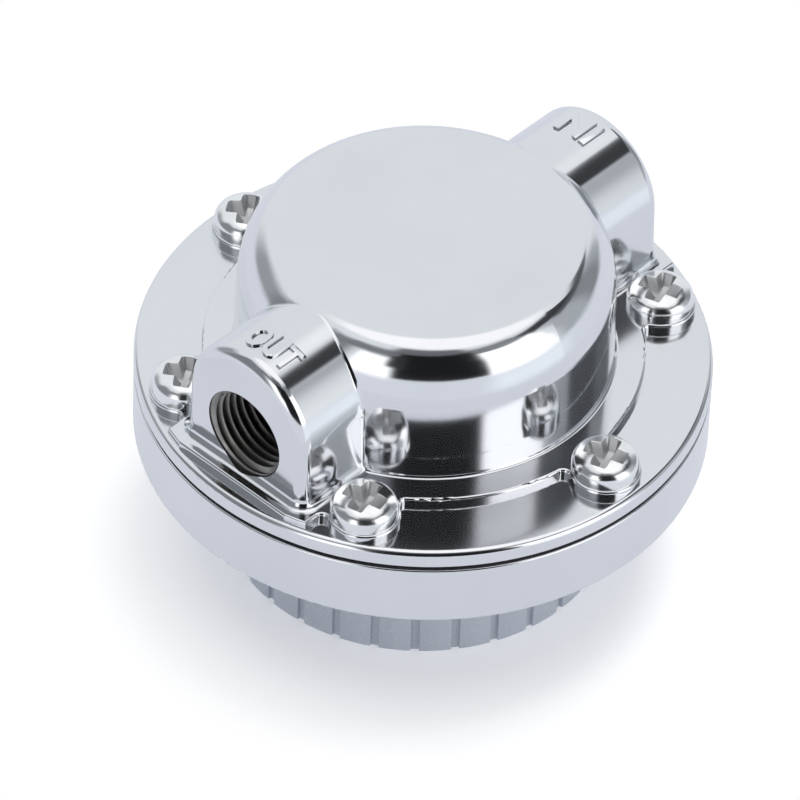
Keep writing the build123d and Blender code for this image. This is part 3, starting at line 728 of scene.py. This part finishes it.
finishes = {
    "plated_casting": platedCasting(chrome),
    "plated_screw": platedScrew(screwPlate),
    "diaphragm_rubber": diaphragmRubber(rubberedFabric),
    "seal_rubber": sealRubber(smoothRubber),
    "brass": turnedMetal("brass", turned),
    "spring_steel": springSteel(springWire),
    "sheet_steel": sheetSteel(zincSheet),
    "rivet": turnedMetal("rivet", turned),
    "turned_steel": turnedMetal("turnedSteel", turned),
    "dial_plastic": dialPlastic(greyPlastic),
}
threadFinish = bareThread(cutThread)
numberFinish = printedInk(ink)
for row in record["subparts"]:
    mesh = nodes[row["node"]].data
    mesh.materials.clear()
    mesh.materials.append(finishes[row["material_slot"]])
print("finishes set")


# Pieces that only the rendered model has
def addPiece(name, bm, material, body, smoothAngle=35, node=None):
    bmesh.ops.recalc_face_normals(bm, faces=bm.faces)
    for face in bm.faces:
        face.smooth = True
    mesh = bpy.data.meshes.new(name)
    bm.to_mesh(mesh)
    bm.free()
    mesh.set_sharp_from_angle(angle=math.radians(smoothAngle))
    mesh.materials.append(material)
    piece = bpy.data.objects.new(name, mesh)
    scene.collection.objects.link(piece)
    if body:
        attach(piece, body)
    if node:
        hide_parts(node)
    return piece


def joinInto(whole, bm):
    part = bpy.data.meshes.new("part")
    bm.to_mesh(part)
    bm.free()
    whole.from_mesh(part)
    bpy.data.meshes.remove(part)


def mergeDoubles(bm, reach=1e-7):
    bmesh.ops.remove_doubles(bm, verts=bm.verts, dist=reach)


def everything(bm):
    return bm.verts[:] + bm.edges[:] + bm.faces[:]


def turnedRound(degrees):
    return Matrix.Rotation(math.radians(degrees), 4, "Z")


screw = {
    "head": 3.45 * millimetre,
    "height": 2.3 * millimetre,
    "side": 0.5 * millimetre,
    "roundness": 2.8,            # 2 would be an ellipse, more is flatter with a fuller shoulder
    "shank": 1.7 * millimetre,
    "length": 8.0 * millimetre,
    "point": 0.4 * millimetre,
    "crossLength": 4.416 * millimetre,
    "crossWidth": 1.794 * millimetre,
    "crossDepth": 1.61 * millimetre,
    "crossTaper": 18,
    "crossEdge": 0.09 * millimetre,
    "crossCorner": 16,           # more makes the arms' corners sharper
    "turns": (20, 48, 5, 33, 62, 75),    # of each screw's cross
    "steps": 96,
    "domeRows": 14,
}
recessRows = 4                   # rows of the screw's profile, from its middle, that lie in the recess


def crossReach(look, angle, depth):
    # from the middle to the edge of the tapered cross, in this direction and at this depth
    slimmer = depth * math.tan(math.radians(look["crossTaper"]))
    fromArm = abs((angle + math.pi / 4) % (math.pi / 2) - math.pi / 4)
    end = (look["crossLength"] / 2 - slimmer) / math.cos(fromArm)
    side = (look["crossWidth"] / 2 - slimmer) / max(math.sin(fromArm), 1e-4)
    power = look["crossCorner"]
    return end / (1 + (end / side) ** power) ** (1 / power)


def screwBmesh(look):
    head, top, edge = look["head"], look["height"], look["crossEdge"]
    rise, power = top - look["side"], look["roundness"]
    floor = top - look["crossDepth"]

    def domeHeight(radius):
        return look["side"] + rise * (1 - (radius / head) ** power) ** (1 / power)

    def rowPlaces(angle):
        mouth = look["crossLength"] / 3      # a first guess, until the mouth meets the dome
        for again in range(6):
            mouth = crossReach(look, angle, top - domeHeight(mouth))
        places = [(0, floor), (crossReach(look, angle, look["crossDepth"]) - edge, floor),
                  (crossReach(look, angle, look["crossDepth"] - edge), floor + edge),
                  (mouth, domeHeight(mouth) - edge), (mouth + edge, domeHeight(mouth + edge))]
        first = math.asin(((mouth + edge) / head) ** (power / 2))
        for row in range(1, look["domeRows"] + 1):
            turn = first + (math.pi / 2 - first) * row / look["domeRows"]
            places.append((head * math.sin(turn) ** (2 / power),
                           look["side"] + rise * max(math.cos(turn), 0) ** (2 / power)))
        return places + [(head, 0), (look["shank"], 0), (look["shank"], look["point"] - look["length"]),
                         (look["shank"] - look["point"], -look["length"]), (0, -look["length"])]

    # a spun line whose heights are row numbers, until each point is set by its row and direction
    bm = bmesh.new()
    rows = [bm.verts.new((1, 0, row)) for row in range(len(rowPlaces(0)))]
    edges = [bm.edges.new(pair) for pair in zip(rows, rows[1:])]
    bmesh.ops.spin(bm, geom=rows + edges, cent=(0, 0, 0), axis=(0, 0, 1), angle=fullTurn,
                   steps=look["steps"], use_merge=True)
    # marks the cross recess, where the screws' finish paints shade
    recess = bm.verts.layers.float.new("recess")
    for vert in bm.verts:
        row, angle = round(vert.co.z), math.atan2(vert.co.y, vert.co.x)
        radius, height = rowPlaces(angle)[row]
        vert.co = (radius * math.cos(angle), radius * math.sin(angle), height)
        vert[recess] = 1 if row < recessRows else 0
    mergeDoubles(bm)
    return bm


def buildScrews(look):
    low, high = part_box("flange_screws")
    whole = bmesh.new()
    for place, turn in enumerate(look["turns"]):
        bm = screwBmesh(look)
        bm.transform(turnedRound(place * 360 / len(look["turns"]))
                     @ Matrix.Translation((high[0] - look["head"], 0, low[2] + look["length"]))
                     @ turnedRound(turn))
        joinInto(whole, bm)
    addPiece("flangeScrews", whole, finishes["plated_screw"], "housing",
             smoothAngle=40, node="flange_screws")


def spunLine(points, rounding, closed=False, steps=roundSteps):
    # a line of radii and heights with rounded corners, turned into a shell
    bm = bmesh.new()
    verts = [bm.verts.new((radius, 0, height)) for radius, height in points]
    for pair in zip(verts, verts[1:] + verts[:1] if closed else verts[1:]):
        bm.edges.new(pair)
    bmesh.ops.bevel(bm, geom=verts if closed else verts[1:-1], offset=rounding,
                    offset_type="OFFSET", affect="VERTICES", segments=cornerSteps,
                    profile=0.5, material=-1)
    bmesh.ops.spin(bm, geom=bm.verts[:] + bm.edges[:], cent=(0, 0, 0), axis=(0, 0, 1),
                   angle=fullTurn, steps=steps, use_merge=True)
    return bm


sheet = {
    "thickness": 0.5 * millimetre,
    "rimHeight": 21.4 * millimetre,      # middle of the clamped rim
    "discHeight": 21.85 * millimetre,    # middle of the part between the plates
    "rollLow": 20.1 * millimetre,
    "rollOuter": 20.35 * millimetre,
    "rollInner": 15.35 * millimetre,
    "rollSlope": 0.9 * millimetre,
    "rounding": 0.45 * millimetre,
    "rivet": 1.62 * millimetre,
    "screwRing": 25.15 * millimetre,
    "screwHole": 1.8 * millimetre,
    "holeSteps": 32,
}


def addSheet(name, bm, body, look):
    piece = addPiece(name, bm, finishes["diaphragm_rubber"], body,
                     smoothAngle=60, node="diaphragm")
    solid = piece.modifiers.new("thickness", "SOLIDIFY")
    solid.thickness = look["thickness"]
    solid.offset = 0
    return piece


def buildDiaphragm(look):
    # two halves that meet at the bottom of the roll: the outer one goes with the housing, the inner one
    # with no body
    middle = (look["rollOuter"] + look["rollInner"]) / 2
    flat = look["rollOuter"] + look["thickness"]
    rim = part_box("diaphragm")[1][0]
    bm = spunLine([(middle, look["rollLow"]), (look["rollOuter"] - look["rollSlope"], look["rollLow"]),
                   (look["rollOuter"], look["rimHeight"]), (flat, look["rimHeight"])], look["rounding"])
    level = Matrix.Translation((0, 0, look["rimHeight"]))
    rings = []
    for radius in (flat, rim):
        rings += bmesh.ops.create_circle(bm, segments=roundSteps, radius=radius, matrix=level)["verts"]
    for place in range(len(screw["turns"])):
        hole = (turnedRound(place * 360 / len(screw["turns"]))
                @ Matrix.Translation((look["screwRing"], 0, look["rimHeight"])))
        rings += bmesh.ops.create_circle(bm, segments=look["holeSteps"], radius=look["screwHole"],
                                         matrix=hole)["verts"]
    edges = list(dict.fromkeys(edge for vert in rings for edge in vert.link_edges))
    bmesh.ops.triangle_fill(bm, use_beauty=True, edges=edges, normal=(0, 0, 1))
    mergeDoubles(bm, reach=1e-6)
    addSheet("diaphragm.outer", bm, "housing", look)
    bm = spunLine([(look["rivet"], look["discHeight"]), (look["rollInner"], look["discHeight"]),
                   (look["rollInner"] + look["rollSlope"], look["rollLow"]), (middle, look["rollLow"])],
                  look["rounding"])
    inner = addSheet("diaphragm.inner", bm, None, look)
    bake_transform(inner)


seal = {
    "hole": 0.85 * millimetre,
    "rounding": 0.08 * millimetre,
    "steps": 64,
}


def buildSeal(look):
    low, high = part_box("poppet_seal")
    corners = [(look["hole"], low[2]), (high[0], low[2]), (high[0], high[2]), (look["hole"], high[2])]
    bm = spunLine(corners, look["rounding"], closed=True, steps=look["steps"])
    addPiece("poppetSeal", bm, finishes["seal_rubber"], "valve",
             smoothAngle=50, node="poppet_seal")


springs = {
    "split": 0.72,                   # share of the main spring that the follower compresses
    "mainEnd": 1.2 * millimetre,     # height of an end coil, which keeps its shape
    "poppetEnd": 0.4 * millimetre,
}


def buildSpring(name, node, split=None, keepAbove=False):
    # a CAD spring's coil, or its part below or above a height, as a piece with no body
    bm = bmesh.new()
    bm.from_mesh(nodes[node].data)
    mergeDoubles(bm)
    if split is not None:
        cut = bmesh.ops.bisect_plane(bm, geom=everything(bm), plane_co=(0, 0, split), plane_no=(0, 0, 1),
                                     clear_inner=keepAbove, clear_outer=not keepAbove)
        edges = [part for part in cut["geom_cut"] if isinstance(part, bmesh.types.BMEdge)]
        bmesh.ops.holes_fill(bm, edges=edges)
    piece = addPiece(name, bm, finishes["spring_steel"], None, smoothAngle=40, node=node)
    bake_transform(piece)


def buildSprings(look):
    low, high = (corner[2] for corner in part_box("main_spring"))
    split = low + (high - low) * look["split"]
    buildSpring("mainSpring.low", "main_spring",
                split)
    buildSpring("mainSpring.high", "main_spring",
                split, keepAbove=True)
    low, high = (corner[2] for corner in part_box("poppet_spring"))
    buildSpring("poppetSpring", "poppet_spring")


portThread = {
    "pitch": 0.941 * millimetre,
    "depth": 0.50 * millimetre,
    "crest": 0.13 * millimetre,
    "root": 0.14 * millimetre,
    "sunk": 0.03 * millimetre,        # how far the ridges' feet stand in the wall
    "start": -1.35 * millimetre,      # outside, so that a ridge runs out at the mouth all round
    "mouth": 0.12 * millimetre,
    "leadIn": 0.55 * millimetre,
    "end": 0.25 * millimetre,
    "taper": 1 / 32,
    "stepsPerTurn": 72,
}


def buildPortThread(mount, look):
    wall = mount["dims"]["r_mm"] * millimetre
    length = mount["dims"]["length_mm"] * millimetre
    half = (look["pitch"] - look["root"]) / 2
    foot = wall + look["sunk"]
    profile = [(foot, -half), (wall - look["depth"], -look["crest"] / 2),
               (wall - look["depth"], look["crest"] / 2), (foot, half)]
    travel = length - look["start"] - look["end"] - 2 * half
    steps = int(travel / look["pitch"] * look["stepsPerTurn"])
    bm = bmesh.new()
    corners = [bm.verts.new((radius, 0, offset - look["start"] - half)) for radius, offset in profile]
    edges = [bm.edges.new((corners[place - 1], corners[place])) for place in range(len(corners))]
    bmesh.ops.spin(bm, geom=corners + edges, cent=(0, 0, 0), axis=(0, 0, -1),
                   angle=fullTurn * steps / look["stepsPerTurn"], steps=steps,
                   dvec=(0, 0, -look["pitch"] / look["stepsPerTurn"]))
    bmesh.ops.holes_fill(bm, edges=[edge for edge in bm.edges if edge.is_boundary])
    for vert in bm.verts:
        # the ridges grow in behind the mouth, and the thread tapers
        radius = math.hypot(vert.co.x, vert.co.y)
        vert.co.z = min(vert.co.z, -look["mouth"])
        if radius < wall:
            grown = min(1, -vert.co.z / look["leadIn"])
            slimmer = (foot - (foot - radius) * grown + vert.co.z * look["taper"]) / radius
            vert.co.x *= slimmer
            vert.co.y *= slimmer
    bmesh.ops.dissolve_degenerate(bm, dist=1e-7, edges=bm.edges)
    turn = Vector(mount["axis"]).to_track_quat("Z", "Y").to_matrix().to_4x4()
    bm.transform(Matrix.Translation(mount["pos_m"]) @ turn)
    addPiece(mount["name"] + ".thread", bm, threadFinish, "housing")


def textBmesh(words, size, weight, half, edge):
    curve = bpy.data.curves.new(words, "FONT")
    curve.body = words
    curve.size = size
    curve.offset = weight
    curve.extrude = half
    curve.bevel_depth = edge
    curve.bevel_resolution = 2
    curve.resolution_u = 5
    curve.align_x = "CENTER"
    curve.align_y = "CENTER"
    holder = bpy.data.objects.new(words, curve)
    mesh = bpy.data.meshes.new_from_object(holder)
    bpy.data.objects.remove(holder)
    bpy.data.curves.remove(curve)
    bm = bmesh.new()
    bm.from_mesh(mesh)
    bpy.data.meshes.remove(mesh)
    mergeDoubles(bm, reach=1e-6)
    return bm


def fitFlat(bm, width, height, centre=(0, 0)):
    # with no width, the words keep their shape
    xs = [vert.co.x for vert in bm.verts]
    ys = [vert.co.y for vert in bm.verts]
    across, up = max(xs) - min(xs), max(ys) - min(ys)
    middle = Vector(((max(xs) + min(xs)) / 2, (max(ys) + min(ys)) / 2, 0))
    stretch = Matrix.Diagonal((width / across if width else height / up, height / up, 1, 1))
    bm.transform(Matrix.Translation((*centre, 0)) @ stretch @ Matrix.Translation(-middle))


portLabel = {
    "words": {"outlet_port": "OUT", "inlet_port": "IN"},
    "width": {"outlet_port": 6.2 * millimetre, "inlet_port": None},
    "height": 3.3 * millimetre,
    "typeSize": 4.6 * millimetre,      # before the words are fitted to the width and height
    "fromFace": 3.55 * millimetre,
    "aside": 0.4 * millimetre,
    "weight": 0.10 * millimetre,
    "raised": 0.25 * millimetre,
    "sunk": 0.1 * millimetre,
    "edge": 0.06 * millimetre,
    "archRadius": 8.05 * millimetre,
    "archRise": 2.0 * millimetre,      # arch's centre above the bore's
    "slice": 0.35 * millimetre,
}


def buildPortLabel(mount, look):
    name = mount["name"]
    half = (look["raised"] + look["sunk"]) / 2
    bm = textBmesh(look["words"][name], look["typeSize"], look["weight"], half - look["edge"],
                   look["edge"])
    fitFlat(bm, look["width"][name], look["height"], (look["aside"], 0))
    # sliced upright, then wrapped round the arch
    slices = int(max(abs(vert.co.x) for vert in bm.verts) / look["slice"])
    for step in range(-slices, slices + 1):
        bmesh.ops.bisect_plane(bm, geom=everything(bm), plane_co=(step * look["slice"], 0, 0),
                               plane_no=(1, 0, 0))
    for vert in bm.verts:
        angle = vert.co.x / look["archRadius"]
        radius = look["archRadius"] + vert.co.z + half - look["sunk"]
        inward = vert.co.y + look["fromFace"]
        vert.co = (radius * math.sin(angle), inward, look["archRise"] + radius * math.cos(angle))
    out = Vector(mount["axis"])
    turn = Matrix.Rotation(math.atan2(out.y, out.x) + math.pi / 2, 4, "Z")
    bm.transform(Matrix.Translation(mount["pos_m"]) @ turn)
    addPiece(name + ".label", bm, finishes["plated_casting"], "housing",
             smoothAngle=50)


dialNumbers = {
    "count": 6,
    "step": 60,
    "first": -90,            # under the cover's pointer
    "ring": 13.4 * millimetre,
    "height": 3.6 * millimetre,
    "weight": 0.05 * millimetre,
    "ink": 0.01 * millimetre,
}


def buildDialNumbers(look):
    whole = bmesh.new()
    for place in range(look["count"]):
        bm = textBmesh(str(place + 1), look["height"], look["weight"], look["ink"] / 2, 0)
        fitFlat(bm, None, look["height"])
        angle = math.radians(look["first"] - place * look["step"])
        outward = Vector((math.cos(angle), math.sin(angle), 0))
        aside = Vector((-outward.y, outward.x, 0))
        for vert in bm.verts:
            below = Vector((0, 0, -look["ink"] / 2 - vert.co.z))
            vert.co = outward * (look["ring"] + vert.co.y) + aside * vert.co.x + below
        joinInto(whole, bm)
    addPiece("dialNumbers", whole, numberFinish, "dial")


for mount in record["mounts"]:
    if mount["kind"] == "threaded_hole":
        buildPortThread(mount, portThread)
        buildPortLabel(mount, portLabel)
buildDialNumbers(dialNumbers)
buildScrews(screw)
buildDiaphragm(sheet)
buildSeal(seal)
buildSprings(springs)
print("pieces built")
